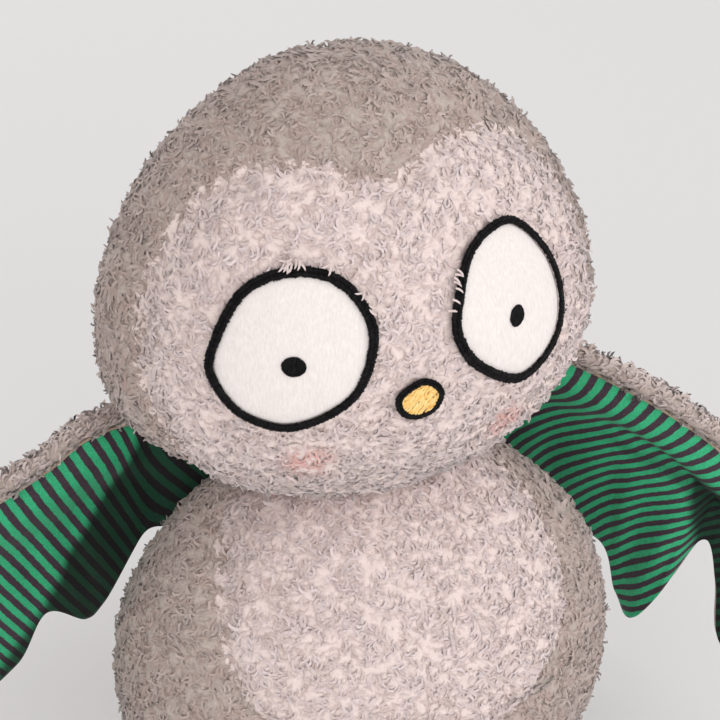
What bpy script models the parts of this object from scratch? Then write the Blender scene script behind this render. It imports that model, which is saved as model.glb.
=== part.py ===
"""Plush owl with striped bat wings: sewn panels over stuffing.

Metres, +Z up, the face towards -Y. The origin is the middle of the base panel.
Left and right are the viewer's, looking at the face.
"""

import math

import bmesh
import bpy
from mathutils import Matrix, Vector

# Fabrics and clearances
GAP = 0.0003
SEAM_GAP = 0.0004
PLUSH = 0.005
BASE_CLOTH = 0.003
LINING = 0.0010

# Body: an egg that swells below its middle and stands on a flat base
BODY_HALF_WIDTH = 0.0953
BODY_HALF_DEPTH = 0.0680
BODY_RISE = 0.0843
BODY_FALL = 0.0800
BODY_MIDDLE = 0.0712
BODY_BACK = 0.0015
BODY_SQUARENESS = 2.0
BODY_BASE_SQUARENESS = 2.4

# Head: wider than it is tall below, domed above, on a drawn-in neck
NECK_ABOVE_BODY = 0.0763
HEAD_ABOVE_NECK = 0.0575
HEAD_HALF_WIDTH = 0.0903
HEAD_HALF_DEPTH = 0.0635
HEAD_RISE = 0.0970
HEAD_FALL = 0.0658
HEAD_FORWARD = 0.0025
HEAD_SQUARENESS = 1.9

NECK = BODY_MIDDLE + NECK_ABOVE_BODY
HEAD_MIDDLE = NECK + HEAD_ABOVE_NECK

# Pale face mask: half of its edge from the widow's peak down to the neck, from the head's middle
MASK_EDGE = (
    (0.0000, 0.0645),
    (0.0100, 0.0670),
    (0.0230, 0.0712),
    (0.0370, 0.0712),
    (0.0520, 0.0655),
    (0.0640, 0.0535),
    (0.0750, 0.0370),
    (0.0815, 0.0150),
    (0.0800, -0.0080),
    (0.0680, -0.0330),
    (0.0450, -0.0600),
)

# Pale belly: an egg, widest above the body's middle
BELLY_HALF_WIDTH = 0.0645
BELLY_ABOVE_MIDDLE = 0.0338
BELLY_RISE = 0.0580
BELLY_FALL = 0.0490

# Pellet bag that steadies the seat
BAG_HALF_WIDTH = 0.0360
BAG_HALF_DEPTH = 0.0260
BAG_HEIGHT = 0.0160

# Eyes: each outline is the outer edge of its border, in the plane that touches the head there
EYE_BORDER = 0.0033
BORDER_RISE = 0.0004
APPLIQUE = 0.0016
APPLIQUE_SINK = 0.0004
PUPIL_THICKNESS = 0.0009
LEFT_EYE_TURN = math.radians(-26.0)
LEFT_EYE_HEIGHT = 0.0180
LEFT_EYE_OUTLINE = (
    (-0.0275, 0.0010),
    (-0.0172, 0.0190),
    (-0.0025, 0.0261),
    (0.0138, 0.0238),
    (0.0240, 0.0133),
    (0.0271, -0.0009),
    (0.0191, -0.0194),
    (-0.0015, -0.0290),
    (-0.0185, -0.0235),
    (-0.0280, -0.0102),
)
LEFT_PUPIL_PLACE = (-0.0010, -0.0059)
LEFT_PUPIL_SIZE = (0.0044, 0.0037)
LEFT_PUPIL_LEAN = math.radians(-10.0)
RIGHT_EYE_TURN = math.radians(23.0)
RIGHT_EYE_HEIGHT = 0.0205
RIGHT_EYE_OUTLINE = (
    (0.0268, -0.0023),
    (0.0217, 0.0125),
    (0.0102, 0.0252),
    (-0.0020, 0.0254),
    (-0.0124, 0.0192),
    (-0.0191, 0.0066),
    (-0.0217, -0.0058),
    (-0.0151, -0.0194),
    (0.0021, -0.0304),
    (0.0152, -0.0274),
    (0.0250, -0.0168),
)
RIGHT_PUPIL_PLACE = (0.0040, -0.0061)
RIGHT_PUPIL_SIZE = (0.0030, 0.0042)
RIGHT_PUPIL_LEAN = math.radians(-20.0)

# Beak
BEAK_TURN = math.radians(0.4)
BEAK_HEIGHT = -0.0048
BEAK_BORDER = 0.0023
BEAK_RISE = 0.0006
BEAK_OUTLINE = (
    (0.0002, 0.0069),
    (0.0057, 0.0049),
    (0.0085, 0.0005),
    (0.0072, -0.0043),
    (0.0034, -0.0076),
    (-0.0020, -0.0080),
    (-0.0065, -0.0056),
    (-0.0086, -0.0008),
    (-0.0071, 0.0033),
)

# Wings: a padded arm along the leading edge, with a scalloped membrane hanging from it
WING_LENGTH = 0.1650
WING_DEPTH = 0.0870
SEAM_TURN = math.radians(140.0)
SEAM_BELOW_NECK = 0.0100
SEAM_LENGTH = 0.0400
WING_STANDOFF = 0.0028
ROOT_GAP = 0.0008
ARM_DEPTH = 0.0240
ARM_HALF_THICKNESS = 0.0065
ARM_TIP_HALF_THICKNESS = 0.0030
MEMBRANE_HALF_THICKNESS = 0.0006
WING_PLUSH = 0.0040
ROOT_PLUSH = 0.0010
FUR_LIP = 0.0060
ROOT_LIP = 0.0020
BATTING_HEM = 0.2
BATTING_SLACK = 0.0002
SWELL_COLUMNS = 4

# Ribs run from the leading edge to the scalloped edge, as shares of the length and the depth
LEADING_EDGE = (
    (0.085, 0.135),
    (0.210, 0.000),
    (0.315, -0.010),
    (0.400, -0.010),
    (0.515, -0.005),
    (0.650, 0.023),
    (0.727, 0.046),
    (0.824, 0.115),
    (0.921, 0.300),
    (1.000, 0.780),
)
SCALLOPED_EDGE = (
    (0.255, 0.710),
    (0.345, 0.885),
    (0.400, 0.897),
    (0.485, 0.735),
    (0.600, 0.925),
    (0.740, 0.980),
    (0.775, 0.500),
    (0.855, 0.620),
    (0.945, 0.820),
    (1.010, 0.885),
)

# How each wing is held: its pattern's corner, from the seam's top in shares of the wing's length,
# then turns back, down and, rib by rib, under
LEFT_CORNER = (-0.0673, 0.0565, 0.1424)
LEFT_BACK_TURN = math.radians(-5.0)
LEFT_DROOP = math.radians(20.0)
LEFT_UNDER = (15, 15, 15, 15, 15, 15, 15, 15, 15, 15)
RIGHT_CORNER = (0.0964, -0.0071, 0.2588)
RIGHT_BACK_TURN = math.radians(-28.0)
RIGHT_DROOP = math.radians(31.0)
RIGHT_UNDER = (20, 24, 23, 18, 12, 5, 2, 0, 0, 0)

# Fineness of the round forms
OUTER_SEGMENTS = 36
OUTER_RINGS = 20
INNER_SEGMENTS = 24
INNER_RINGS = 14
OUTLINE_STEPS = 36
COLUMNS_PER_RIB = 2
WING_ROWS = 6

# Colours and finishes
CROWN_COLOUR = (0.40, 0.36, 0.33)
FACE_COLOUR = (0.62, 0.55, 0.54)
EYE_COLOUR = (0.90, 0.85, 0.82)
THREAD_COLOUR = (0.01, 0.01, 0.01)
BEAK_COLOUR = (0.95, 0.58, 0.14)
GREEN_COLOUR = (0.02, 0.38, 0.15)
CLOTH_COLOUR = (0.75, 0.74, 0.70)
FIBRE_COLOUR = (0.88, 0.88, 0.86)


def clear_scene():
    for thing in list(bpy.data.objects):
        bpy.data.objects.remove(thing, do_unlink=True)


def material(name, colour, roughness):
    made = bpy.data.materials.new(name)
    made.use_nodes = True
    shader = made.node_tree.nodes["Principled BSDF"]
    shader.inputs["Base Color"].default_value = (*colour, 1.0)
    shader.inputs["Roughness"].default_value = roughness
    shader.inputs["Metallic"].default_value = 0.0
    return made


def finish(bm, name, finish_material=None):
    """Make an object of a bmesh; without a material it is a hidden cutter."""
    bmesh.ops.remove_doubles(bm, verts=bm.verts, dist=1e-7)
    bmesh.ops.recalc_face_normals(bm, faces=bm.faces)
    mesh = bpy.data.meshes.new(name)
    bm.to_mesh(mesh)
    bm.free()
    made = bpy.data.objects.new(name, mesh)
    bpy.context.collection.objects.link(made)
    if finish_material:
        mesh.materials.append(finish_material)
        mesh.shade_smooth()
    else:
        made.hide_render = True
        made.display_type = "WIRE"
    return made


def cut(thing, cutter, operation="DIFFERENCE"):
    modifier = thing.modifiers.new(cutter.name, "BOOLEAN")
    modifier.operation = operation
    modifier.object = cutter
    modifier.solver = "EXACT"


class Swell:
    """A stuffed form: an ellipsoid whose profile may be squarer or leaner than an ellipse."""

    def __init__(self, width, depth, rise, fall, centre, square_above, square_below):
        self.width = width
        self.depth = depth
        self.rise = rise
        self.fall = fall
        self.centre = Vector(centre)
        self.square_above = square_above
        self.square_below = square_below

    def level(self, point, outward=0.0):
        """Below one inside the form grown by this much, above one outside it."""
        local = point - self.centre
        upper = local.z > 0.0
        square = self.square_above if upper else self.square_below
        height = (self.rise if upper else self.fall) + outward
        round_part = math.hypot(local.x / (self.width + outward), local.y / (self.depth + outward))
        return round_part**square + abs(local.z / height) ** square

    def normal(self, point, outward=0.0):
        step = 1e-5
        slopes = []
        for axis in (Vector((step, 0, 0)), Vector((0, step, 0)), Vector((0, 0, step))):
            slopes.append(self.level(point + axis, outward) - self.level(point - axis, outward))
        return Vector(slopes).normalized()

    def drop(self, point, direction, outward=0.0):
        """Where a line through a point meets the form grown by this much."""
        near = point + direction * self.depth
        far = point - direction * self.depth * 0.8
        for _ in range(40):
            middle = (near + far) / 2.0
            if self.level(middle, outward) > 1.0:
                near = middle
            else:
                far = middle
        return (near + far) / 2.0

    def at(self, turn, height, outward=0.0):
        """The surface point at a turn from the front and a height from the centre."""
        upper = height > 0.0
        square = self.square_above if upper else self.square_below
        reach = (self.rise if upper else self.fall) + outward
        size = (1.0 - abs(height / reach) ** square) ** (1.0 / square)
        x = (self.width + outward) * size * math.sin(turn)
        y = -(self.depth + outward) * size * math.cos(turn)
        return self.centre + Vector((x, y, height))

    def mesh(self, outward, segments, rings, low=None, high=None):
        bm = bmesh.new()
        bmesh.ops.create_uvsphere(bm, u_segments=segments, v_segments=rings, radius=1.0)
        for vert in bm.verts:
            around = math.hypot(vert.co.x, vert.co.y)
            up = vert.co.z
            square = self.square_above if up > 0.0 else self.square_below
            size = (around**square + abs(up) ** square) ** (-1.0 / square)
            reach = self.rise if up > 0.0 else self.fall
            vert.co.x *= size * (self.width + outward)
            vert.co.y *= size * (self.depth + outward)
            vert.co.z *= size * (reach + outward)
            vert.co += self.centre
        if low is not None:
            cap(bm, low, (0.0, 0.0, -1.0))
        if high is not None:
            cap(bm, high, (0.0, 0.0, 1.0))
        return bm


def cap(bm, height, direction):
    """Cut a closed mesh flat at a height and close the cut."""
    everything = list(bm.verts) + list(bm.edges) + list(bm.faces)
    place = Vector((0.0, 0.0, height))
    bmesh.ops.bisect_plane(bm, geom=everything, plane_co=place, plane_no=direction, clear_outer=True)
    rim = [edge for edge in bm.edges if edge.is_boundary]
    bmesh.ops.holes_fill(bm, edges=rim, sides=len(rim))


def smooth_loop(points, steps):
    """A closed curve through the points, with this many steps in all."""
    count = len(points)
    vectors = [Vector(point) for point in points]
    loop = []
    for step in range(steps):
        place = step * count / steps
        index = int(place)
        part = place - index
        before, start, end, after = (vectors[(index + k) % count] for k in (-1, 0, 1, 2))
        loop.append(between(before, start, end, after, part))
    return loop


def between(before, start, end, after, part):
    """A point of the smooth curve from start to end, which the outer two points steer."""
    bend = 2.0 * before - 5.0 * start + 4.0 * end - after
    twist = 3.0 * start - before - 3.0 * end + after
    return 0.5 * (2.0 * start + (end - before) * part + bend * part**2 + twist * part**3)


def grow(loop, amount):
    """The closed plane curve moved outwards by an amount; its points run either way round."""
    count = len(loop)
    area = sum(loop[i].x * loop[(i + 1) % count].y - loop[(i + 1) % count].x * loop[i].y for i in range(count))
    side = 1.0 if area > 0.0 else -1.0
    grown = []
    for index, point in enumerate(loop):
        along = (loop[(index + 1) % count] - loop[index - 1]).normalized()
        grown.append(point + Vector((along.y, -along.x)) * side * amount)
    return grown


def loft(bm, rows):
    """Skin closed rows of points, one after another, and return the rows of vertices."""
    made = [[bm.verts.new(point) for point in row] for row in rows]
    for first, second in zip(made, made[1:]):
        count = len(first)
        for i in range(count):
            k = (i + 1) % count
            bm.faces.new((first[i], first[k], second[k], second[i]))
    return made


def prism(name, outline, front, back):
    """A hidden block: an outline in X and Z, swept along Y."""
    bm = bmesh.new()
    base = bm.faces.new([bm.verts.new((point.x, front, point.y)) for point in outline])
    swept = bmesh.ops.extrude_face_region(bm, geom=[base])
    moved = [item for item in swept["geom"] if isinstance(item, bmesh.types.BMVert)]
    bmesh.ops.translate(bm, verts=moved, vec=(0.0, back - front, 0.0))
    return finish(bm, name)


class Patch:
    """A piece of cloth or stitching that lies on the head, drawn in the plane that touches it."""

    def __init__(self, form, turn, height):
        self.form = form
        self.centre = form.at(turn, height)
        self.out = form.normal(self.centre)
        self.across = Vector((0.0, 0.0, 1.0)).cross(self.out).normalized()
        self.up = self.out.cross(self.across)

    def lay(self, point, outward):
        flat = self.centre + self.across * point.x + self.up * point.y
        return self.form.drop(flat, self.out, outward)

    def disc(self, name, outline, inner, outer, finish_material=None, middle=Vector((0.0, 0.0))):
        """A closed patch inside an outline, between two depths from the head's surface."""
        bm = bmesh.new()
        shares = (0.35, 0.7, 1.0)
        rows = []
        for share in shares:
            rows.append([self.lay(middle.lerp(point, share), outer) for point in outline])
        for share in reversed(shares):
            rows.append([self.lay(middle.lerp(point, share), inner) for point in outline])
        made = loft(bm, rows)
        for row, depth in ((made[0], outer), (made[-1], inner)):
            hub = bm.verts.new(self.lay(middle, depth))
            for i, vert in enumerate(row):
                bm.faces.new((vert, row[(i + 1) % len(row)], hub))
        return finish(bm, name, finish_material)

    def ring(self, name, outline, width, inner, outer, finish_material):
        """A closed band inside an outline: a raised line of satin stitch."""
        bm = bmesh.new()
        crown = (inner + 3.0 * outer) / 4.0
        section = ((0.0, inner), (0.0, crown), (0.5, outer), (1.0, crown), (1.0, inner))
        rows = []
        for share, depth in section:
            rows.append([self.lay(point, depth) for point in grow(outline, -width * share)])
        rows.append(rows[0])
        loft(bm, rows)
        return finish(bm, name, finish_material)


def make_materials():
    return {
        "crown": material("taupe_plush", CROWN_COLOUR, 0.9),
        "face": material("pale_plush", FACE_COLOUR, 0.9),
        "eye": material("eye_cloth", EYE_COLOUR, 0.8),
        "thread": material("black_thread", THREAD_COLOUR, 0.45),
        "beak": material("beak_thread", BEAK_COLOUR, 0.45),
        "lining": material("striped_velour", GREEN_COLOUR, 0.7),
        "cloth": material("bag_cloth", CLOTH_COLOUR, 0.85),
        "fibre": material("fibre_fill", FIBRE_COLOUR, 0.95),
    }


def make_body(form, finishes):
    floor = BASE_CLOTH + GAP
    hollow = finish(form.mesh(-PLUSH, INNER_SEGMENTS, INNER_RINGS), "body_hollow")
    egg = []
    for step in range(OUTLINE_STEPS):
        angle = 2.0 * math.pi * step / OUTLINE_STEPS
        reach = BELLY_RISE if math.sin(angle) > 0.0 else BELLY_FALL
        height = BODY_MIDDLE + BELLY_ABOVE_MIDDLE + reach * math.sin(angle)
        egg.append(Vector((BELLY_HALF_WIDTH * math.cos(angle), height)))
    front = form.centre.y - 2.0 * BODY_HALF_DEPTH
    belly_block = prism("belly_block", egg, front, form.centre.y)
    belly_window = prism("belly_window", grow(egg, SEAM_GAP), front, form.centre.y)
    for name, key, block, operation in (
        ("belly_panel", "face", belly_block, "INTERSECT"),
        ("back_panel", "crown", belly_window, "DIFFERENCE"),
    ):
        panel = finish(form.mesh(0.0, OUTER_SEGMENTS, OUTER_RINGS, floor, NECK), name, finishes[key])
        cut(panel, hollow)
        cut(panel, block, operation)
    finish(form.mesh(0.0, OUTER_SEGMENTS, OUTER_RINGS, 0.0, BASE_CLOTH), "base_panel", finishes["crown"])
    stuffing = form.mesh(-PLUSH - GAP, INNER_SEGMENTS, INNER_RINGS, floor, NECK)
    stuffing = finish(stuffing, "body_stuffing", finishes["fibre"])
    bag_form = Swell(BAG_HALF_WIDTH, BAG_HALF_DEPTH, BAG_HEIGHT, BAG_HEIGHT, (0, BODY_BACK, floor), 2.6, 2.6)
    finish(bag_form.mesh(0.0, INNER_SEGMENTS, INNER_RINGS, floor), "pellet_bag", finishes["cloth"])
    cut(stuffing, finish(bag_form.mesh(GAP, INNER_SEGMENTS, INNER_RINGS), "bag_room"))


def make_head(form, finishes):
    """Return the parent of the head's pieces, which stands on the neck's turning axis."""
    seat = NECK + GAP
    hollow = finish(form.mesh(-PLUSH, INNER_SEGMENTS, INNER_RINGS), "head_hollow")
    half = [Vector((x, z + HEAD_MIDDLE)) for x, z in MASK_EDGE]
    other_half = [Vector((-point.x, point.y)) for point in reversed(half[1:])]
    mask = smooth_loop(half + other_half, 2 * OUTLINE_STEPS)
    front = form.centre.y - 2.0 * HEAD_HALF_DEPTH
    mask_block = prism("mask_block", mask, front, form.centre.y)
    mask_window = prism("mask_window", grow(mask, SEAM_GAP), front, form.centre.y)
    face = finish(form.mesh(0.0, OUTER_SEGMENTS, OUTER_RINGS, seat), "face_panel", finishes["face"])
    cut(face, hollow)
    cut(face, mask_block, "INTERSECT")
    crown = finish(form.mesh(0.0, OUTER_SEGMENTS, OUTER_RINGS, seat), "crown_panel", finishes["crown"])
    cut(crown, hollow)
    cut(crown, mask_window)
    stuffing = form.mesh(-PLUSH - GAP, INNER_SEGMENTS, INNER_RINGS, seat)
    stuffing = finish(stuffing, "head_stuffing", finishes["fibre"])
    pieces = [face, crown, stuffing]
    pieces += make_eye(form, face, "left", finishes)
    pieces += make_eye(form, face, "right", finishes)
    pieces += make_beak(form, face, finishes)
    axis = bpy.data.objects.new("neck_axis", None)
    bpy.context.collection.objects.link(axis)
    axis.location = (form.centre.x, form.centre.y, NECK)
    hold(axis, pieces)


def hold(axis, pieces):
    for piece in pieces:
        piece.parent = axis
        piece.matrix_parent_inverse = Matrix.Translation(-axis.location)


def pocket(patch, face, name, outline, floor):
    """Sink a pocket into the face for a sewn-on piece."""
    room = patch.disc(name, grow(outline, GAP), floor - GAP, 2.0 * PLUSH)
    cut(face, room)


def make_eye(form, face, side, finishes):
    left = side == "left"
    patch = Patch(form, LEFT_EYE_TURN if left else RIGHT_EYE_TURN, LEFT_EYE_HEIGHT if left else RIGHT_EYE_HEIGHT)
    outline = smooth_loop(LEFT_EYE_OUTLINE if left else RIGHT_EYE_OUTLINE, OUTLINE_STEPS)
    top = -APPLIQUE_SINK
    floor = top - APPLIQUE
    pocket(patch, face, "eye_pocket_" + side, outline, floor)
    inside = grow(outline, -EYE_BORDER - GAP)
    white = patch.disc("eye_white_" + side, inside, floor, top, finishes["eye"])
    raised = top + BORDER_RISE
    border = patch.ring("eye_border_" + side, outline, EYE_BORDER, floor, raised, finishes["thread"])
    place = Vector(LEFT_PUPIL_PLACE if left else RIGHT_PUPIL_PLACE)
    size = LEFT_PUPIL_SIZE if left else RIGHT_PUPIL_SIZE
    lean = LEFT_PUPIL_LEAN if left else RIGHT_PUPIL_LEAN
    oval = []
    for step in range(OUTLINE_STEPS // 2):
        angle = 4.0 * math.pi * step / OUTLINE_STEPS
        point = Vector((size[0] * math.cos(angle), size[1] * math.sin(angle)))
        point.rotate(Matrix.Rotation(lean, 2))
        oval.append(place + point)
    seat = top + GAP
    pupil = patch.disc("pupil_" + side, oval, seat, seat + PUPIL_THICKNESS, finishes["thread"], place)
    return [white, border, pupil]


def make_beak(form, face, finishes):
    patch = Patch(form, BEAK_TURN, BEAK_HEIGHT)
    outline = smooth_loop(BEAK_OUTLINE, OUTLINE_STEPS * 2 // 3)
    floor = -APPLIQUE_SINK - APPLIQUE
    pocket(patch, face, "beak_pocket", outline, floor)
    inside = grow(outline, -BEAK_BORDER - GAP)
    fill = patch.disc("beak_fill", inside, floor, BEAK_RISE - APPLIQUE_SINK, finishes["beak"])
    border = patch.ring("beak_border", outline, BEAK_BORDER, floor, BEAK_RISE, finishes["thread"])
    return [fill, border]


class Wing:
    """The sewn wing: its middle surface spans ribs, and its cloths lie either side."""

    def __init__(self, form, side):
        left = side == "left"
        self.side = -1.0 if left else 1.0
        self.form = form
        top = NECK - SEAM_BELOW_NECK - form.centre.z
        turn = self.side * SEAM_TURN
        self.top = form.at(turn, top, WING_STANDOFF)
        bottom = form.at(turn, top - SEAM_LENGTH * 0.85, WING_STANDOFF)
        self.seam = (bottom - self.top).normalized()
        corner = self.top + Vector(LEFT_CORNER if left else RIGHT_CORNER) * WING_LENGTH
        back_turn = LEFT_BACK_TURN if left else RIGHT_BACK_TURN
        droop = LEFT_DROOP if left else RIGHT_DROOP
        under = LEFT_UNDER if left else RIGHT_UNDER
        level = math.cos(droop)
        along = Vector((self.side * math.cos(back_turn) * level, math.sin(back_turn) * level, -math.sin(droop)))
        hang = Vector((0.0, 0.0, -1.0))
        hang = (hang - along * hang.dot(along)).normalized()
        behind = along.cross(hang) * self.side
        leading = [self.top]
        trailing = [bottom]
        for angle, lead, trail in zip(under, LEADING_EDGE, SCALLOPED_EDGE):
            tipped = math.radians(angle)
            down = hang * math.cos(tipped) + behind * math.sin(tipped)
            leading.append(corner + along * lead[0] * WING_LENGTH + down * lead[1] * WING_DEPTH)
            trailing.append(corner + along * trail[0] * WING_LENGTH + down * trail[1] * WING_DEPTH)
        self.leading = self.smooth(leading)
        self.trailing = self.smooth(trailing)
        self.last = len(self.leading) - 1

    def smooth(self, points):
        """The smooth open curve through the points, with even steps between them."""
        route = [2 * points[0] - points[1], *points, 2 * points[-1] - points[-2]]
        curve = []
        for start in range(1, len(route) - 2):
            for step in range(COLUMNS_PER_RIB):
                curve.append(between(*route[start - 1 : start + 3], step / COLUMNS_PER_RIB))
        return curve + [points[-1]]

    def rows(self, column):
        """Depths down a column, closer together over the arm's tube, each with the batting's half thickness."""
        span = (self.trailing[column] - self.leading[column]).length
        depths = [span * (row / WING_ROWS) ** 1.4 for row in range(WING_ROWS + 1)]
        return [(depth, self.padding(column, depth, span)) for depth in depths]

    def swell(self, column):
        """How far the arm has filled out from the seam: none at the seam, all a few columns on."""
        return math.sin(0.5 * math.pi * min(column / SWELL_COLUMNS, 1.0))

    def padding(self, column, depth, span):
        """Half the thickness of the batting: a tube along the arm, nearly flat below it."""
        share = column / self.last
        arm = ARM_HALF_THICKNESS + (ARM_TIP_HALF_THICKNESS - ARM_HALF_THICKNESS) * share
        reach = min(ARM_DEPTH, 0.6 * span)
        arm *= self.swell(column) * reach / ARM_DEPTH
        if depth >= reach:
            return MEMBRANE_HALF_THICKNESS
        tube = math.sin(math.pi * depth / reach) ** 0.8
        return MEMBRANE_HALF_THICKNESS + max(arm - MEMBRANE_HALF_THICKNESS, 0.0) * tube

    def point(self, column, depth, offset):
        """A point beside the middle surface, which stays clear of the body; the first column lies on it."""
        before = max(column - 1, 0)
        after = min(column + 1, self.last)
        ahead = self.leading[after] + self.trailing[after] - self.leading[before] - self.trailing[before]
        down = (self.trailing[column] - self.leading[column]).normalized()
        forward = down.cross(ahead).normalized() * self.side
        middle = self.leading[column] + down * depth
        if self.form.level(middle, WING_STANDOFF) < 1.0:
            middle = self.form.drop(middle, self.form.normal(middle), WING_STANDOFF)
        point = middle + forward * offset
        if column == 0:
            point = self.form.drop(point, self.form.normal(self.top), ROOT_GAP)
        return point

    def sheet(self, name, profile, finish_material, hem=0.0):
        """A closed sheet; profile gives a column's depths, each with a front and a back offset.

        Its triangles lean the same way on both sides, so that stacked sheets stay parallel.
        A hem draws the lower edge back by that share of the last row.
        """
        bm = bmesh.new()
        columns = []
        for column in range(self.last + 1):
            rows = profile(column)
            ahead = [self.point(column, depth, front) for depth, front, _back in rows]
            behind = [self.point(column, depth, back) for depth, _front, back in rows]
            ahead[-1] = ahead[-1].lerp(ahead[-2], hem)
            behind[-1] = behind[-1].lerp(behind[-2], hem)
            columns.append(ahead + behind[::-1])
        made = [[bm.verts.new(point) for point in column] for column in columns]
        count = len(made[0])
        half = count // 2
        for first, second in zip(made, made[1:]):
            for i in range(count):
                k = (i + 1) % count
                near, far = (first[i], second[k]) if i < half else (first[k], second[i])
                bm.faces.new((near, far, first[k] if i < half else first[i]))
                bm.faces.new((near, far, second[i] if i < half else second[k]))
        for ends in (made[0], made[-1]):
            for row in range(half - 1):
                bm.faces.new((ends[row], ends[row + 1], ends[-2 - row], ends[-1 - row]))
        return finish(bm, name, finish_material)


def make_wing(form, side, finishes):
    wing = Wing(form, side)

    def lining_profile(column):
        return [(depth, pad + GAP + LINING, pad + GAP) for depth, pad in wing.rows(column)]

    def batting_profile(column):
        rows = [(depth, pad - BATTING_SLACK, BATTING_SLACK - pad) for depth, pad in wing.rows(column)]
        top = rows[0]
        return [(top[0] + GAP, top[1], top[2])] + rows[1:]

    def fur_profile(column):
        share = wing.swell(column)
        pile = ROOT_PLUSH + (WING_PLUSH - ROOT_PLUSH) * share
        lip = ROOT_LIP + (FUR_LIP - ROOT_LIP) * share
        rows = [(depth, -pad - GAP, -pad - GAP - pile) for depth, pad in wing.rows(column)]
        top, behind, back = rows[0]
        front = -behind + LINING
        rim = [(top - lip, 0.3 * front, 0.6 * behind), (top - 0.4 * lip, front, 0.9 * back)]
        return rim + [(top - GAP, front, back), (top - GAP, behind, back)] + rows[1:]

    axis = bpy.data.objects.new("wing_axis_" + side, None)
    bpy.context.collection.objects.link(axis)
    axis.location = wing.top
    pieces = [
        wing.sheet("wing_lining_" + side, lining_profile, finishes["lining"]),
        wing.sheet("wing_batting_" + side, batting_profile, finishes["fibre"], BATTING_HEM),
        wing.sheet("wing_fur_" + side, fur_profile, finishes["crown"]),
    ]
    hold(axis, pieces)
    print(side, "wing seam", [round(value, 4) for value in wing.top], [round(value, 4) for value in wing.seam])


def main():
    clear_scene()
    finishes = make_materials()
    body = Swell(
        BODY_HALF_WIDTH,
        BODY_HALF_DEPTH,
        BODY_RISE,
        BODY_FALL,
        (0.0, BODY_BACK, BODY_MIDDLE),
        BODY_SQUARENESS,
        BODY_BASE_SQUARENESS,
    )
    head = Swell(
        HEAD_HALF_WIDTH,
        HEAD_HALF_DEPTH,
        HEAD_RISE,
        HEAD_FALL,
        (0.0, -HEAD_FORWARD, HEAD_MIDDLE),
        HEAD_SQUARENESS,
        HEAD_SQUARENESS,
    )
    make_body(body, finishes)
    make_head(head, finishes)
    make_wing(body, "left", finishes)
    make_wing(body, "right", finishes)


main()
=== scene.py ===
"""Plush owl with striped bat wings: cloth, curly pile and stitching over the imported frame.

Metres, +Z up, the face towards -Y. Left and right are the viewer's, looking at the face.
"""

import math

import bmesh
import bpy
import numpy as np
from mathutils import Matrix, Vector, noise


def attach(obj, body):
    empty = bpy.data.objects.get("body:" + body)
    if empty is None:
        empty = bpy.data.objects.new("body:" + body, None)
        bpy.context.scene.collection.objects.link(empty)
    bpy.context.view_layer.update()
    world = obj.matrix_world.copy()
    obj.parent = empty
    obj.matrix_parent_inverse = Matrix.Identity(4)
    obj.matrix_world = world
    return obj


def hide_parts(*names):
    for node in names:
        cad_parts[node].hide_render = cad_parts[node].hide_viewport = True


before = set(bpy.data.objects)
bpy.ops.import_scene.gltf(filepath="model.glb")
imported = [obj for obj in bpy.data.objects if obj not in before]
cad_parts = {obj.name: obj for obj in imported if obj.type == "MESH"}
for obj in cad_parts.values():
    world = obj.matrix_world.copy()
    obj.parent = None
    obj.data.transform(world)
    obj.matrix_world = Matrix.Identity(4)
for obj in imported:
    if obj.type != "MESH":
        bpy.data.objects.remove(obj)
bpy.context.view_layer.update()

# Stuffed forms, as the frame has them
NECK = 0.1475
BODY_MIDDLE = 0.0712
HEAD_MIDDLE = 0.2050
BASE_HEIGHT = 0.0030

# Cloth under the pile
CLOTH_DEPTH = 0.0016
CLOTH_THICKNESS = 0.0010
WING_CLOTH_THICKNESS = 0.0008
TUFT_RELIEF = 0.0012
TUFT_SIZE = 0.0050
LUMP_RELIEF = 0.0006
SEAM_DEPTH = 0.0022
SEAM_WIDTH = 0.0042
NECK_GAP = 0.0008
NECK_ROLL = 0.0022
WELD = 0.00002
TINY = 1e-9

# Pile: short curled locks
LOCK_LENGTH = 0.0042
LOCK_RADIUS = 0.00050
LOCK_SPACING = 0.00151
LOCK_KINDS = 8
LOCK_SINK = 0.0003
LOCK_SOFTNESS = 0.94  # share of the skin's own facing in a lock's shading
LOOSE_SHARE = 0.05
LOCKS_PER_PIECE = 9500
EDGE_OVERHANG = 0.0022
HEM_MARGIN = 0.0040
STRAY_SIZE = 0.8
HEAD_PILE_LOW = NECK + 0.0014
BODY_PILE_LOW = 0.004
BODY_PILE_HIGH = NECK - 0.0012

# Face mask: half of its edge, from the head's middle
MASK_EDGE = (
    (0.0, 0.0645), (0.01, 0.067), (0.023, 0.0712), (0.037, 0.0712), (0.052, 0.0655), (0.064, 0.0535),
    (0.075, 0.037), (0.0815, 0.015), (0.08, -0.008), (0.068, -0.033), (0.045, -0.06),
)
BELLY_HALF_WIDTH = 0.0645
BELLY_MIDDLE = 0.1050
BELLY_RISE = 0.0580
BELLY_FALL = 0.0490
CHEEKS = ((Vector((-0.0348, -0.0534, 0.1771)), 0.0120), (Vector((0.0371, -0.0517, 0.1754)), 0.0105))

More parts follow.
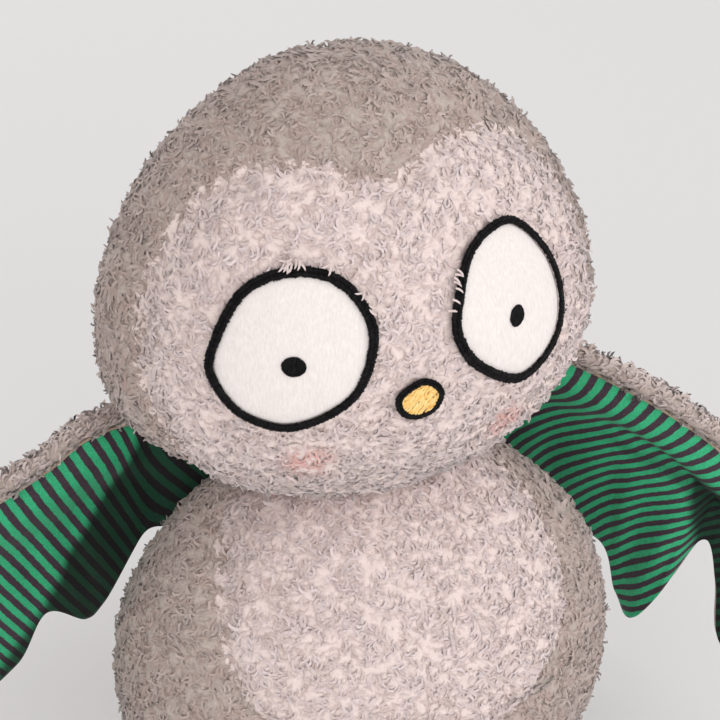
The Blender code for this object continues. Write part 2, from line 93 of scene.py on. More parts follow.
# Eyes and beak: outer edges of the borders, in the plane that touches the head there.
# A border has its width, how much that changes, and the direction in which it is thinnest.
# Stray strands have an angle, a spread and a count.
LEFT_EYE = {
    "turn": -26.0,
    "height": 0.0180,
    "outline": (
        (-0.0275, 0.001), (-0.0172, 0.019), (-0.0025, 0.0261), (0.0138, 0.0238), (0.024, 0.0133),
        (0.0271, -0.0009), (0.0191, -0.0194), (-0.0015, -0.029), (-0.0185, -0.0235), (-0.028, -0.0102),
    ),
    "border": (0.0032, 0.00044, -100.0),
    "pupil": (-0.0003, -0.0059),
    "pupil_size": (0.0039, 0.0033),
    "pupil_lean": -10.0,
    "strays": ((89.0, 3.5, 12), (63.0, 0.6, 2), (35.0, 1.0, 2), (20.0, 6.0, 2)),
}
RIGHT_EYE = {
    "turn": 23.0,
    "height": 0.0205,
    "outline": (
        (0.0268, -0.0023), (0.0217, 0.0125), (0.0102, 0.0252), (-0.002, 0.0254), (-0.0124, 0.0192),
        (-0.0191, 0.0066), (-0.0217, -0.0058), (-0.0151, -0.0194), (0.0021, -0.0304), (0.0152, -0.0274),
        (0.025, -0.0168),
    ),
    "border": (0.0030, 0.0006, 20.0),
    "pupil": (0.0033, -0.0064),
    "pupil_size": (0.0028, 0.0036),
    "pupil_lean": -20.0,
    "strays": ((140.0, 5.0, 4), (165.0, 9.0, 3)),
}
BEAK = {
    "turn": 0.4,
    "height": -0.0048,
    "outline": (
        (0.0002, 0.0069), (0.0057, 0.0049), (0.0085, 0.0005), (0.0072, -0.0043), (0.0034, -0.0076),
        (-0.002, -0.008), (-0.0065, -0.0056), (-0.0086, -0.0008), (-0.0071, 0.0033),
    ),
}
BEAK_BORDER = 0.0023

# Stitches: how far apart they lie, and how high over the head
EYE_PITCH, EYE_LIFT = 0.00052, -0.0002
PUPIL_PITCH, PUPIL_LIFT, PUPIL_SLANT = 0.00034, 0.0005, 1.2
BEAK_PITCH, BEAK_LIFT = 0.00044, -0.0001
FILLING_PITCH, FILLING_LIFT, FILLING_SLANT = 0.00045, 0.0002, 0.9

# Wings; their edges are shares of the wing's length and depth, rib by rib
WING_LENGTH = 0.1650
WING_DEPTH = 0.0870
SEAM_TURN = math.radians(140.0)
SEAM_TOP = NECK - 0.0100
SEAM_LENGTH = 0.0400
WING_STANDOFF = 0.0028
SEAM_STANDOFF = 0.0002
ARM_DEPTH = 0.0240
ARM_THICKNESS = 0.0065
ARM_TIP_THICKNESS = 0.0030
HALF_CLOTH = 0.0007
FRONT_GAP = 0.0012
BACK_GAP = 0.0004
STRIPE_PERIOD = 0.0055
STRIPE_SCALE = 0.1
TUCK_DEPTH = 0.0062
FOLD_DEPTH = 0.0125
RIM_RADIUS = 0.0034
LEADING_EDGE = (
    (0.085, 0.135), (0.21, 0.0), (0.315, -0.01), (0.4, -0.01), (0.515, -0.005),
    (0.65, 0.023), (0.727, 0.046), (0.824, 0.115), (0.921, 0.3), (1.0, 0.78),
)
SCALLOPED_EDGE = (
    (0.255, 0.71), (0.345, 0.885), (0.4, 0.897), (0.485, 0.735), (0.6, 0.925),
    (0.74, 0.98), (0.775, 0.5), (0.855, 0.62), (0.945, 0.82), (1.01, 0.885),
)
LEFT_WING = {
    "side": -1.0,
    "corner": (-0.0673, 0.0565, 0.1424),
    "turn": -5.0,
    "droop": 20.0,
    "under": (15,) * 10,
    "lead_rise": (0.10, 0.08, 0.04, 0.03, 0.03, 0.03, 0.03, 0.02, 0.0, 0.0),
    "trail_shift": {
        0: (-0.055, -0.109), 1: (0.008, -0.005), 2: (0.01, -0.01),
        3: (-0.003, -0.055), 4: (0.0, -0.01), 5: (0.0, -0.04),
    },
    "stripes": ((0, 0, -3.65), (0, 1, 0.2), (0, 2, 1.41), (1, 0, 17.87), (1, 1, 2.77)),
}
RIGHT_WING = {
    "side": 1.0,
    "corner": (0.0964, -0.0071, 0.2588),
    "turn": -28.0,
    "droop": 31.0,
    "under": (20, 24, 23, 18, 12, 5, 2, 0, 0, 0),
    "lead_rise": (0.0, 0.01, 0.03, 0.035, 0.035, 0.03, 0.01, 0.0, 0.0, 0.0),
    "trail_shift": {
        2: (0.05, 0.05), 3: (0.13, 0.085), 4: (0.116, 0.085),
        5: (0.031, 0.009), 6: (0.016, 0.003), 7: (0.02, 0.0),
    },
    "stripes": (
        (0, 0, -8.87), (0, 1, -6.22), (0, 2, 49.83), (0, 3, -95.3), (0, 4, 50.34),
        (1, 0, 16.32), (1, 1, 10.8), (1, 2, 1.17),
    ),
}

# Both random sources start from a number, so that every run gives the same owl
SEED = 7
random = np.random.default_rng(SEED)
noise.seed_set(SEED)


def unit(vectors, least=0.0):
    """Vectors brought to a length of one."""
    return vectors / (np.linalg.norm(vectors, axis=-1, keepdims=True) + least)


def clamp(values):
    return np.clip(values, 0.0, 1.0)


def hump(values, centre, width):
    """One at a centre, falling smoothly to none."""
    return np.exp(-(((values - centre) / width) ** 2))


def eased(share):
    return share**2 * (3.0 - 2.0 * share)


def full_turn(steps):
    return np.linspace(0.0, 2.0 * math.pi, steps, endpoint=False)


class Swell:
    """A stuffed form: an ellipsoid whose profile may be squarer or leaner than an ellipse."""

    def __init__(self, width, depth, rise, fall, centre, above, below):
        self.sizes = (width, depth)
        self.heights = (rise, fall)
        self.centre = np.array(centre)
        self.squares = (above, below)

    def level(self, points, outward=0.0):
        local = np.atleast_2d(points) - self.centre
        upper = local[:, 2] > 0.0
        square = np.where(upper, *self.squares)
        reach = np.where(upper, *self.heights) + outward
        width, depth = (half + outward for half in self.sizes)
        around = np.hypot(local[:, 0] / width, local[:, 1] / depth)
        return around**square + np.abs(local[:, 2] / reach) ** square

    def normal(self, points):
        points = np.atleast_2d(points)
        slopes = np.empty_like(points)
        for axis in range(3):
            step = np.zeros(3)
            step[axis] = 1e-5
            slopes[:, axis] = self.level(points + step) - self.level(points - step)
        return unit(slopes)

    def drop(self, points, directions, outward=0.0):
        """Where lines through the points meet the form grown by this much, found by halving."""
        near = points + directions * 0.06
        far = points - directions * 0.05
        for _ in range(26):
            middle = (near + far) / 2.0
            outside = (self.level(middle, outward) > 1.0)[:, None]
            near = np.where(outside, middle, near)
            far = np.where(outside, far, middle)
        return (near + far) / 2.0

    def at(self, turn, height, outward=0.0):
        upper = 0 if height > 0.0 else 1
        square = self.squares[upper]
        reach = self.heights[upper] + outward
        size = (1.0 - abs(height / reach) ** square) ** (1.0 / square)
        width, depth = (half + outward for half in self.sizes)
        away = (width * size * math.sin(turn), -depth * size * math.cos(turn), height)
        return self.centre + np.array(away)


BODY = Swell(0.0953, 0.0680, 0.0843, 0.0800, (0.0, 0.0015, BODY_MIDDLE), 2.0, 2.4)
HEAD = Swell(0.0903, 0.0635, 0.0970, 0.0658, (0.0, -0.0025, HEAD_MIDDLE), 1.9, 1.9)


# Curves and outlines


def between(before, start, end, after, part):
    """A point of the smooth curve from start to end, which the outer two points steer."""
    bend = 2.0 * before - 5.0 * start + 4.0 * end - after
    twist = 3.0 * start - before - 3.0 * end + after
    return 0.5 * (2.0 * start + (end - before) * part + bend * part**2 + twist * part**3)


def smooth_loop(points, steps):
    """A closed curve through the points, with this many steps in all."""
    points = np.array(points)
    count = len(points)
    loop = []
    for step in range(steps):
        index = int(step * count / steps)
        part = step * count / steps - index
        loop.append(between(*(points[(index + k) % count] for k in (-1, 0, 1, 2)), part))
    return np.array(loop)


def grow(loop, amount):
    """The closed curve moved outwards by an amount; its points run either way round."""
    after = np.roll(loop, -1, axis=0)
    area = np.sum(loop[:, 0] * after[:, 1] - after[:, 0] * loop[:, 1])
    along = unit(after - np.roll(loop, 1, axis=0))
    return loop + np.stack((along[:, 1], -along[:, 0]), axis=1) * amount * np.sign(area)


def inside(points, loop):
    """Which points of the plane lie inside a closed curve."""
    x, y = points[:, 0], points[:, 1]
    found = np.zeros(len(points), dtype=bool)
    for start, end in zip(loop, np.roll(loop, -1, axis=0)):
        crosses = (start[1] > y) != (end[1] > y)
        run = (y - start[1]) * (end[0] - start[0])
        rise = end[1] - start[1]
        found ^= crosses & (x < start[0] + run / (rise if rise else 1e-12))
    return found


def edge_distance(points, loop):
    """How far each point of the plane lies from a closed curve."""
    best = np.full(len(points), 1.0)
    for start, end in zip(loop, np.roll(loop, -1, axis=0)):
        side = end - start
        share = clamp((points - start) @ side / (side @ side))
        best = np.minimum(best, np.linalg.norm(points - start - share[:, None] * side, axis=1))
    return best


HALF_MASK = [(x, z + HEAD_MIDDLE) for x, z in MASK_EDGE]
MASK = smooth_loop(HALF_MASK + [(-x, z) for x, z in reversed(HALF_MASK[1:])], 84)
BELLY = np.array(
    [
        (
            BELLY_HALF_WIDTH * math.cos(angle),
            BELLY_MIDDLE + (BELLY_RISE if math.sin(angle) > 0.0 else BELLY_FALL) * math.sin(angle),
        )
        for angle in full_turn(60)
    ]
)


def in_front(points, loop):
    return (points[:, 1] < 0.0) & inside(points[:, [0, 2]], loop)


# Materials


class Shading:
    """A material's node tree, with short calls for the nodes that cloth needs."""

    def __init__(self, name):
        self.material = bpy.data.materials.new(name)
        self.material.use_nodes = True
        self.nodes = self.material.node_tree.nodes
        self.shader = self.nodes["Principled BSDF"]

    def feed(self, socket, value):
        """Give a socket the output of another node, or a value of its own."""
        if isinstance(value, bpy.types.NodeSocket):
            self.material.node_tree.links.new(value, socket)
        elif socket.type == "RGBA":
            socket.default_value = (*value, 1.0)
        else:
            socket.default_value = value

    def set(self, node, **values):
        for name, value in values.items():
            self.feed(node.inputs[name.replace("_", " ")], value)

    def finish(self, colour, roughness, **values):
        """Fill the shader's own sockets, which ends the material."""
        self.set(self.shader, Base_Color=colour, Roughness=roughness, **values)
        return self.material

    def place(self):
        return self.nodes.new("ShaderNodeTexCoord").outputs["Object"]

    def attribute(self, name):
        node = self.nodes.new("ShaderNodeAttribute")
        node.attribute_name = name
        return node

    def lock(self):
        """What each point of a lock or stitch carries: how far up it lies, and its tone."""
        node = self.nodes.new("ShaderNodeSeparateColor")
        self.set(node, Color=self.attribute("lock").outputs["Color"])
        return node.outputs["Red"], node.outputs["Green"]

    def noise(self, place, scale, detail=2.0, roughness=0.5):
        node = self.nodes.new("ShaderNodeTexNoise")
        self.set(node, Vector=place, Scale=scale, Detail=detail, Roughness=roughness)
        return node.outputs["Fac"]

    def math(self, kind, first, second, clamp=False):
        node = self.nodes.new("ShaderNodeMath")
        node.operation = kind
        node.use_clamp = clamp
        self.feed(node.inputs[0], first)
        self.feed(node.inputs[1], second)
        return node.outputs[0]

    def times(self, first, second, clamp=False):
        return self.math("MULTIPLY", first, second, clamp)

    def waver(self, place, scale, amount):
        """A noise that swings to either side of none."""
        return self.times(self.math("SUBTRACT", self.noise(place, scale, 3.0), 0.5), amount)

    def near(self, place, centre, reach):
        """One at a centre, falling to none at a reach."""
        node = self.nodes.new("ShaderNodeVectorMath")
        node.operation = "DISTANCE"
        self.feed(node.inputs[0], place)
        self.feed(node.inputs[1], centre)
        away = self.math("DIVIDE", node.outputs["Value"], reach)
        return self.math("SUBTRACT", 1.0, away, clamp=True)

    def ramp(self, factor, *stops):
        node = self.nodes.new("ShaderNodeValToRGB")
        self.set(node, Fac=factor)
        elements = node.color_ramp.elements
        for index, (position, colour) in enumerate(stops):
            stop = elements[index] if index < 2 else elements.new(position)
            stop.position = position
            stop.color = (*colour, 1.0)
        return node.outputs["Color"]

    def mix(self, factor, first, second, kind="MIX"):
        """Two colours mixed; the node keeps its colour sockets after those of its other kinds."""
        node = self.nodes.new("ShaderNodeMix")
        node.data_type = "RGBA"
        node.blend_type = kind
        self.set(node, Factor=factor)
        self.feed(node.inputs[6], first)
        self.feed(node.inputs[7], second)
        return node.outputs[2]

    def bump(self, height, distance, strength):
        node = self.nodes.new("ShaderNodeBump")
        self.set(node, Height=height, Distance=distance, Strength=strength)
        self.set(self.shader, Normal=node.outputs["Normal"])


def pile_material(name, root, middle, tip, blush=()):
    """Curled pile: its colour runs from root to tip, its tone mixes random tone with painted shade in the
    creases between tufts, and no two locks are alike.
    """
    shading = Shading(name)
    place = shading.place()
    height, tone = shading.lock()
    # The root-to-tip colour is painted light and shade: roots darker than tips stand for the shade deep in
    # the pile, and roots lighter than tips lift it.
    colour = shading.ramp(height, (0.0, root), (0.45, middle), (1.0, tip))
    tone = shading.math("ADD", tone, shading.waver(place, 55.0, 0.7), clamp=True)
    # Low tones, in the creases between tufts, are painted shade that turns the colour warm and dark; high
    # tones, on tuft tops, lift it.
    tone_and_painted_shade = shading.ramp(tone, (0.0, (0.865, 0.81, 0.77)), (1.0, (1.055, 1.065, 1.075)))
    colour = shading.mix(1.0, colour, tone_and_painted_shade, "MULTIPLY")
    for centre, reach in blush:
        spot = shading.times(shading.near(place, centre, reach), 1.7, clamp=True)
        ragged = shading.times(shading.noise(place, 420.0, 3.0), 1.5)
        amount = shading.times(shading.times(spot, ragged, clamp=True), 0.55)
        colour = shading.mix(amount, colour, (0.88, 0.36, 0.30))
    return shading.finish(colour, 0.78, Sheen_Weight=0.2, Sheen_Roughness=0.5, Specular_IOR_Level=0.15)


def cloth_material(name, dark, light, scale, distance):
    """Close-napped cloth: fine grain in colour and bump."""
    shading = Shading(name)
    grain = shading.noise(shading.place(), scale, 4.0, 0.65)
    shading.bump(grain, distance, 0.8)
    colour = shading.ramp(grain, (0.3, dark), (0.7, light))
    return shading.finish(colour, 0.9, Sheen_Weight=0.3, Specular_IOR_Level=0.2)


def eye_cloth_material():
    """Off-white velour with a faint upright grain."""
    shading = Shading("eye_velour")
    place = shading.place()
    stretch = shading.nodes.new("ShaderNodeMapping")
    shading.set(stretch, Vector=place, Scale=(1.0, 1.0, 0.22))
    nap = shading.noise(stretch.outputs["Vector"], 1500.0, 4.0, 0.7)
    colour = shading.ramp(nap, (0.25, (0.74, 0.672, 0.645)), (0.7, (0.885, 0.835, 0.81)))
    cloud = shading.times(shading.noise(place, 60.0), 0.18)
    colour = shading.mix(cloud, colour, (0.97, 0.90, 0.88))
    shading.bump(nap, 0.00025, 0.6)
    return shading.finish(colour, 0.92, Sheen_Weight=0.25, Specular_IOR_Level=0.2)


def thread_material(name, dark, light, roughness, gloss):
    """Glossy embroidery thread; each stitch has its own tone."""
    shading = Shading(name)
    _height, tone = shading.lock()
    colour = shading.ramp(tone, (0.0, dark), (1.0, light))
    shading.bump(shading.noise(shading.place(), 5200.0), 0.00006, 0.6)
    return shading.finish(colour, roughness, Specular_IOR_Level=gloss)


def lining_material():
    """Velour with green and charcoal stripes that follow the cloth, darkened by painted shade beside the
    left wing's seam and in the right wing's tuck and fold.
    """
    shading = Shading("striped_velour")
    place = shading.place()
    coords = shading.nodes.new("ShaderNodeUVMap")
    coords.uv_map = "cloth"
    split = shading.nodes.new("ShaderNodeSeparateXYZ")
    shading.set(split, Vector=coords.outputs["UV"])
    across = shading.math("ADD", split.outputs["X"], shading.waver(place, 420.0, 0.16))
    fold = shading.math("PINGPONG", across, 0.5)
    stripe = shading.math("DIVIDE", shading.math("SUBTRACT", fold, 0.225), 0.05, clamp=True)
    nap = shading.noise(place, 2300.0, 4.0, 0.7)
    green = shading.ramp(nap, (0.3, (0.012, 0.31, 0.13)), (0.72, (0.07, 0.68, 0.33)))
    charcoal = shading.ramp(nap, (0.3, (0.018, 0.009, 0.016)), (0.72, (0.100, 0.060, 0.086)))
    colour = shading.mix(stripe, green, charcoal)
    cloud = shading.times(shading.noise(place, 140.0, 3.0), 0.25)
    colour = shading.mix(cloud, colour, (0.0, 0.0, 0.0), "MULTIPLY")
    # Painted shade: the nap attribute darkens the lining where the head's shadow falls and in the right
    # wing's tuck and fold.
    painted_shade = shading.attribute("nap").outputs["Fac"]
    colour = shading.mix(painted_shade, colour, (0.12, 0.12, 0.12), "MULTIPLY")
    shading.bump(nap, 0.0002, 0.7)
    return shading.finish(colour, 0.72, Sheen_Weight=0.08, Sheen_Roughness=0.4, Specular_IOR_Level=0.3)


MATERIALS = {
    "taupe_pile": pile_material(
        "taupe_pile", (0.50, 0.395, 0.36), (0.50, 0.405, 0.375), (0.54, 0.445, 0.415)
    ),
    "wing_pile": pile_material("wing_pile", (0.57, 0.455, 0.42), (0.58, 0.475, 0.445), (0.63, 0.53, 0.50)),
    # The pale pile's roots are lighter than its tips: painted light in the shade between its locks.
    "pale_pile": pile_material(
        "pale_pile", (0.78, 0.64, 0.62), (0.73, 0.612, 0.598), (0.74, 0.637, 0.634), CHEEKS
    ),
    "taupe_cloth": cloth_material("taupe_cloth", (0.42, 0.35, 0.31), (0.58, 0.49, 0.45), 900.0, 0.0004),
    "pale_cloth": cloth_material("pale_cloth", (0.78, 0.64, 0.60), (0.86, 0.73, 0.70), 900.0, 0.0004),
    "seam_tape": cloth_material("seam_tape", (0.30, 0.22, 0.16), (0.50, 0.40, 0.31), 1800.0, 0.0002),
    "eye": eye_cloth_material(),
    "black_thread": thread_material(
        "black_thread", (0.0012, 0.0010, 0.0012), (0.012, 0.0105, 0.012), 0.45, 0.12
    ),
    "beak_thread": thread_material("beak_thread", (0.93, 0.52, 0.12), (1.0, 0.78, 0.34), 0.36, 0.45),
    "lining": lining_material(),
}


# Making meshes


def to_piece(bm, name, material, body):
    """Make an object of a bmesh and let it ride on its body."""
    mesh = bpy.data.meshes.new(name)
    bm.to_mesh(mesh)
    bm.free()
    return dress(mesh, name, material, body)


def dress(mesh, name, material, body):
    piece = bpy.data.objects.new(name, mesh)
    bpy.context.collection.objects.link(piece)
    mesh.materials.append(MATERIALS[material])
    mesh.shade_smooth()
    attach(piece, body)
    return piece


def thicken(piece, thickness):
    """Give a sheet of cloth its thickness, inwards from its face."""
    cloth = piece.modifiers.new("cloth", "SOLIDIFY")
    cloth.thickness = thickness
    cloth.offset = -1.0


def points_of(bm):
    return np.array([vert.co[:] for vert in bm.verts])


def move_points(bm, points):
    for vert, point in zip(bm.verts, points):
        vert.co = point


def only(kind, items):
    return [item for item in items if isinstance(item, kind)]


def weld(bm):
    """Join the edges where a rolled grid meets itself."""
    bmesh.ops.remove_doubles(bm, verts=bm.verts, dist=WELD)
    bmesh.ops.recalc_face_normals(bm, faces=bm.faces)


def small_mesh(bm):
    """The points, facings and faces of a small shape that is laid many times."""
    bmesh.ops.recalc_face_normals(bm, faces=bm.faces)
    bm.normal_update()
    bm.verts.index_update()
    points = points_of(bm)
    facings = np.array([vert.normal[:] for vert in bm.verts])
    faces = [[vert.index for vert in face.verts] for face in bm.faces]
    bm.free()
    return points, facings, faces


def lay_copies(name, kinds, places, frames, tones, heights, material, body, skin=None):
    """One mesh of many small shapes; each has its kind, place, turning frame and tone."""
    all_points, all_loops, all_sizes, all_lock, all_facings = [], [], [], [], []
    start = 0
    for index, (points, facings, faces) in enumerate(kinds):
        chosen = np.arange(index, len(places), len(kinds))
        if not len(chosen):
            continue
        laid = np.einsum("nij,pj->npi", frames[chosen], points) + places[chosen][:, None, :]
        if skin is not None:
            turned = unit(np.einsum("nij,pj->npi", frames[chosen], facings), TINY)
            turned = turned * (1.0 - LOCK_SOFTNESS) + skin[chosen][:, None, :] * LOCK_SOFTNESS
            all_facings.append(unit(turned, TINY).reshape(-1, 3))
        count = len(points)
        loops = np.concatenate([np.array(face) for face in faces])
        sizes = np.array([len(face) for face in faces])
        offsets = start + np.arange(len(chosen)) * count
        all_points.append(laid.reshape(-1, 3))
        all_loops.append((offsets[:, None] + loops).reshape(-1))
        all_sizes.append(np.tile(sizes, len(chosen)))
        lock = np.ones((len(chosen), count, 4))
        lock[:, :, 0] = heights[index]
        lock[:, :, 1] = tones[chosen][:, None]
        all_lock.append(lock.reshape(-1, 4))
        start += len(chosen) * count
    mesh = bpy.data.meshes.new(name)
    sizes = np.concatenate(all_sizes)
    mesh.vertices.add(start)
    mesh.vertices.foreach_set("co", np.concatenate(all_points).reshape(-1))
    mesh.loops.add(int(sizes.sum()))
    mesh.loops.foreach_set("vertex_index", np.concatenate(all_loops))
    mesh.polygons.add(len(sizes))
    mesh.polygons.foreach_set("loop_start", np.concatenate(([0], np.cumsum(sizes)[:-1])))
    mesh.update(calc_edges=True)
    tint = mesh.attributes.new("lock", "FLOAT_COLOR", "POINT")
    tint.data.foreach_set("color", np.concatenate(all_lock).reshape(-1))
    piece = dress(mesh, name, material, body)
    if skin is not None:
        mesh.normals_split_custom_set_from_vertices(np.concatenate(all_facings))
    return piece


def lock_shape(curl, hook, lean):
    """A curled lock of pile that grows along Z, bends towards X, hooks sideways and tapers to a tip."""
    bm = bmesh.new()
    bmesh.ops.create_circle(bm, cap_ends=True, segments=3, radius=LOCK_RADIUS)
    tip = bm.faces[:]
    heading = Matrix.Rotation(lean, 3, "Y")
    place = Vector((0.0, 0.0, 0.0))
    for length, swell in ((0.36, 1.2), (0.38, 1.05), (0.26, 0.3)):
        swept = bmesh.ops.extrude_face_region(bm, geom=tip)
        bmesh.ops.delete(bm, geom=tip, context="FACES_ONLY")
        verts = only(bmesh.types.BMVert, swept["geom"])
        tip = only(bmesh.types.BMFace, swept["geom"])
        onward = heading @ Vector((0.0, 0.0, LOCK_LENGTH * length))
        bmesh.ops.translate(bm, verts=verts, vec=onward)
        place += onward
        turn = Matrix.Rotation(hook / 3.0, 3, "X") @ Matrix.Rotation(curl / 3.0, 3, "Y")
        around = Matrix.Translation(place)
        bmesh.ops.transform(bm, verts=verts, matrix=around @ turn.to_4x4() @ around.inverted())
        radius = max((vert.co - place).length for vert in verts)
        shrink = Matrix.Scale(swell * LOCK_RADIUS / radius, 4)
        bmesh.ops.transform(bm, verts=verts, matrix=around @ shrink @ around.inverted())
        heading = turn @ heading
    bmesh.ops.remove_doubles(bm, verts=bm.verts, dist=0.00004)
    return small_mesh(bm)


def lock_kinds():
    kinds = []
    for index in range(LOCK_KINDS):
        share = index / (LOCK_KINDS - 1)
        curl = math.radians(30.0 - 70.0 * share)
        hook = math.radians((-1) ** index * (170.0 - 85.0 * share))
        kinds.append(lock_shape(curl, hook, math.radians(6.0 * share)))
    return kinds


LOCKS = lock_kinds()
LOCK_HEIGHTS = [clamp(kind[0][:, 2] / kind[0][:, 2].max()) ** 0.8 for kind in LOCKS]
STRAND = lock_shape(math.radians(35.0), math.radians(40.0), 0.0)
STRAND_HEIGHT = clamp(STRAND[0][:, 2] / STRAND[0][:, 2].max())


def tufts(points):
    """Rounded tufts: one on a tuft, none in the crease between two; and the way out of each."""
    heights, ways = np.empty(len(points)), np.empty((len(points), 3))
    for index, point in enumerate(points):
        spot = Vector(point)
        bent = (spot + noise.noise_vector(spot * 210.0) * 0.0022) / TUFT_SIZE
        apart, centres = noise.voronoi(bent)
        heights[index] = min(1.5 * (apart[1] - apart[0]), 1.0)
        ways[index] = bent - centres[0]
    return np.sin(heights * math.pi / 2.0), ways


def swirl(points, scale):
    """A smooth wandering direction at each point."""
    return np.array([noise.noise_vector(Vector(point * scale))[:] for point in points])


def along_skin(flow, normals, least=0.0):
    """Directions laid flat on the skin."""
    return unit(flow - normals * np.sum(flow * normals, axis=1)[:, None], least)


def lean_over(normals, flow, degrees):
    """The ways ahead and up of locks that lean from the skin's normals along a flow."""
    tilt = np.radians(degrees)[:, None]
    ahead = flow * np.cos(tilt) - normals * np.sin(tilt)
    return ahead, normals * np.cos(tilt) + flow * np.sin(tilt)


def lock_frames(points, normals, outward, lean=(67.0, 88.0), comb=(0.0, 0.0, -0.35), length=1.0):
    """Turning frames for locks: neighbours lean alike, out of their tuft and along the comb's way."""
    flow = swirl(points, 130.0) + 0.5 * swirl(points + 3.0, 340.0) + np.array(comb) * 0.45
    flow += outward * 0.5 + random.normal(0.0, 0.19, points.shape)
    flow = along_skin(flow, normals, TINY)
    ahead, up = lean_over(normals, flow, random.uniform(*lean, len(points)))
    side = np.cross(up, ahead)
    size = length * np.clip(1.0 + random.normal(0.0, 0.16, len(points)), 0.55, 1.4)
    return np.stack((ahead, side, up), axis=2) * size[:, None, None]


def read_rows(items, name, kind=float):
    """A mesh's values, three to a row."""
    values = np.empty(len(items) * 3, dtype=kind)
    items.foreach_get(name, values)
    return values.reshape(-1, 3)


def surface_samples(mesh, keep=None):
    """Even random points on a mesh, with smooth normals."""
    mesh.calc_loop_triangles()
    points, normals = (read_rows(mesh.vertices, name) for name in ("co", "normal"))
    corners = read_rows(mesh.loop_triangles, "vertices", np.int64)
    # The triangles are sorted by place, so that their order in the mesh doesn't matter
    keys = points @ np.array((1.0, 1.37, 0.73))
    corners = np.take_along_axis(corners, np.argsort(keys[corners], axis=1), axis=1)
    corners = corners[np.argsort(keys[corners].sum(axis=1))]
    a, b, c = (points[corners[:, k]] for k in range(3))
    areas = np.linalg.norm(np.cross(b - a, c - a), axis=1) / 2.0
    if keep is not None:
        areas = areas * keep((a + b + c) / 3.0)
    total = int(areas.sum() / LOCK_SPACING**2)
    edges = np.cumsum(areas)
    picks = (np.arange(total) + random.uniform(0.0, 1.0, total)) / total * edges[-1]
    chosen = np.clip(np.searchsorted(edges, picks), 0, len(areas) - 1)
    first, second = random.uniform(0.0, 1.0, (2, total))
    over = first + second > 1.0
    first[over], second[over] = 1.0 - first[over], 1.0 - second[over]
    weights = np.stack((1.0 - first - second, first, second), axis=1)
    found, facing = (np.einsum("nk,nkj->nj", weights, rows[corners[chosen]]) for rows in (points, normals))
    return found, unit(facing)


def lay_pile(name, points, normals, material, body, **ways):
    """Locks over a surface, in pieces that go round the owl."""
    turn = np.arctan2(points[:, 0], points[:, 1])
    pieces = np.array_split(np.argsort(turn), math.ceil(len(points) / LOCKS_PER_PIECE))
    for index, chosen in enumerate(pieces):
        piece = name if len(pieces) == 1 else "%s_%d" % (name, index + 1)
        lay_locks(piece, points[chosen], normals[chosen], material, body, **ways)


def lay_locks(name, points, normals, material, body, bright=0.0, **ways):
    """Locks that lie along the cloth, with a few finer ones that stand loose over them."""
    order = random.permutation(len(points))
    points, normals = points[order], normals[order]
    painted_tuft_shading, outward = tufts(points)
    frames = lock_frames(points, normals, outward, **ways)
    points = points - normals * LOCK_SINK
    loose = slice(int(len(points) * LOOSE_SHARE))
    upright = {"lean": (25.0, 62.0), "comb": (0.0, 0.0, 0.0), "length": 0.9}
    frames[loose] = lock_frames(points[loose], normals[loose], outward[loose], **upright)
    frames[loose, :, :2] *= 0.7
    painted_tuft_shading[loose] = 1.0
    # Tones carry painted shade: dark in the creases between tufts, full on tuft tops and loose locks, with
    # random tone and the bright lift on top.
    tones = clamp(0.12 + 0.66 * painted_tuft_shading + random.normal(0.0, 0.10, len(points)) + bright)
    lay_copies(name, LOCKS, points, frames, tones, LOCK_HEIGHTS, material, body, normals)


# Head and body


def form_mesh(form, outward, low, high, seams):
    """A stuffed form's pile cloth: tufted, cut at the neck and the base, drawn in along its seams."""
    bm = bmesh.new()
    bmesh.ops.create_icosphere(bm, subdivisions=7, radius=1.0)
    points = points_of(bm)
    upper = points[:, 2] > 0.0
    square = np.where(upper, *form.squares)
    around = np.hypot(points[:, 0], points[:, 1])
    size = (around**square + np.abs(points[:, 2]) ** square) ** (-1.0 / square)
    scale = np.empty_like(points)
    scale[:, :2] = form.sizes
    scale[:, 2] = np.where(upper, *form.heights)
    points = points * size[:, None] * (scale + outward) + form.centre
    depth = np.maximum.reduce([seam(points) for seam in seams])
    lumps = np.array([noise.noise(Vector(point * 28.0)) for point in points])
    lift = lumps * LUMP_RELIEF - depth * SEAM_DEPTH - (1.0 - tufts(points)[0]) * TUFT_RELIEF
    move_points(bm, points + form.normal(points) * lift[:, None])
    for height, direction in ((low, -1.0), (high, 1.0)):
        if height is not None:
            everything = [*bm.verts, *bm.edges, *bm.faces]
            plane = {"plane_co": (0.0, 0.0, height), "plane_no": (0.0, 0.0, direction)}
            bmesh.ops.bisect_plane(bm, geom=everything, clear_outer=True, **plane)
    bmesh.ops.recalc_face_normals(bm, faces=bm.faces)
    return bm


def seam_along(loop):
    def depth(points):
        distance = edge_distance(points[:, [0, 2]], loop)
        return np.where(points[:, 1] < 0.0, hump(distance, 0.0, SEAM_WIDTH), 0.0)

    return depth


def back_seam(points):
    """The upright seam down the middle of the back."""
    return np.where(points[:, 1] > 0.0, 0.7 * hump(points[:, 0], 0.0, SEAM_WIDTH), 0.0)


def panel_pair(whole, loop, body, back, front):
    """The back and the front cloth of a stuffed form, as two thick shells; each has a name and its nodes."""
    middles = np.array([face.calc_center_median()[:] for face in whole.faces])
    in_loop = in_front(middles, loop)
    sides = ((in_loop, "taupe_cloth", back), (~in_loop, "pale_cloth", front))
    for unwanted, material, (name, *nodes) in sides:
        bm = whole.copy()
        faces = [face for face, cut in zip(bm.faces[:], unwanted) if cut]
        bmesh.ops.delete(bm, geom=faces, context="FACES")
        panel = to_piece(bm, name, material, body)
        thicken(panel, CLOTH_THICKNESS)
        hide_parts(*nodes)


def form_samples(whole, keep):
    mesh = bpy.data.meshes.new("form")
    whole.to_mesh(mesh)
    whole.free()
    points, normals = surface_samples(mesh, keep)
    bpy.data.meshes.remove(mesh)
    return points, normals


